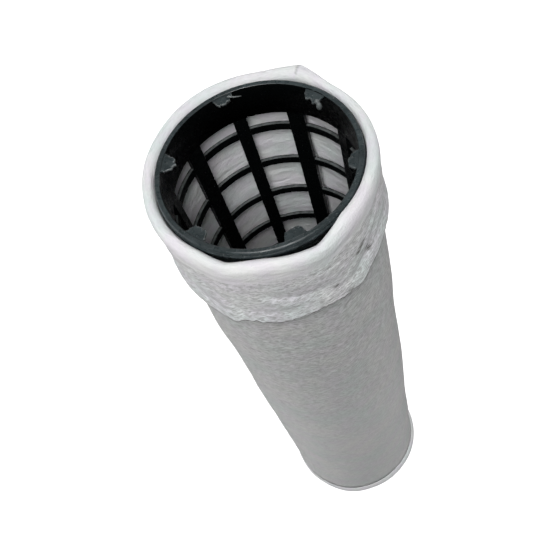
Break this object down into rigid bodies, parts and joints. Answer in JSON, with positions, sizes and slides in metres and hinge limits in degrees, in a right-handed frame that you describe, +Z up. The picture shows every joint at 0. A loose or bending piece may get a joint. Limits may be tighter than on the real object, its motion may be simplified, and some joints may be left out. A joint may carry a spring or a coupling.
{
  "type": "dust collector filter element",
  "caption": "Tubular needle-felt dust filter bag with a turned-down cuff, held open by a removable moulded plastic support cage.",
  "frame": {"origin": "centre of the flat underside of the bag's closed end", "axes": "+Z up along the bag's axis to its open mouth; the bag's side seam is at 53 degrees from +X towards +Y"},
  "size_m": [0.1336, 0.1336, 0.5196],
  "materials": {
    "felt": "needled, singed, slightly fuzzy",
    "cage_plastic": "moulded, semi-matt, scuffed at the rim"
  },
  "bodies": {
    "bag": {"bag_cuff": "felt", "bag_end_cup": "felt", "bag_sleeve": "felt"},
    "cage": {"cage_collar": "cage_plastic", "cage_end_pan": "cage_plastic", "cage_hoop_01": "cage_plastic", "cage_hoop_02": "cage_plastic", "cage_hoop_03": "cage_plastic", "cage_hoop_04": "cage_plastic", "cage_hoop_05": "cage_plastic", "cage_hoop_06": "cage_plastic", "cage_hoop_07": "cage_plastic", "cage_hoop_08": "cage_plastic", "cage_hoop_09": "cage_plastic", "cage_hoop_10": "cage_plastic", "cage_hoop_11": "cage_plastic", "cage_hoop_12": "cage_plastic", "cage_hoop_13": "cage_plastic", "cage_hoop_14": "cage_plastic", "cage_rib_01": "cage_plastic", "cage_rib_02": "cage_plastic", "cage_rib_03": "cage_plastic", "cage_rib_04": "cage_plastic", "cage_rib_05": "cage_plastic", "cage_rib_06": "cage_plastic", "cage_rib_07": "cage_plastic", "cage_rib_08": "cage_plastic", "cage_rib_09": "cage_plastic", "cage_rib_10": "cage_plastic", "collar_tab_1": "cage_plastic", "collar_tab_2": "cage_plastic", "collar_tab_3": "cage_plastic", "collar_tab_4": "cage_plastic", "collar_tab_5": "cage_plastic", "collar_tab_6": "cage_plastic"}
  },
  "joints": [
    {"name": "cage_withdraw", "type": "slide", "parent": "bag", "child": "cage", "axis": [0, 0, 1], "range_m": [0, 0.53]}
  ]
}
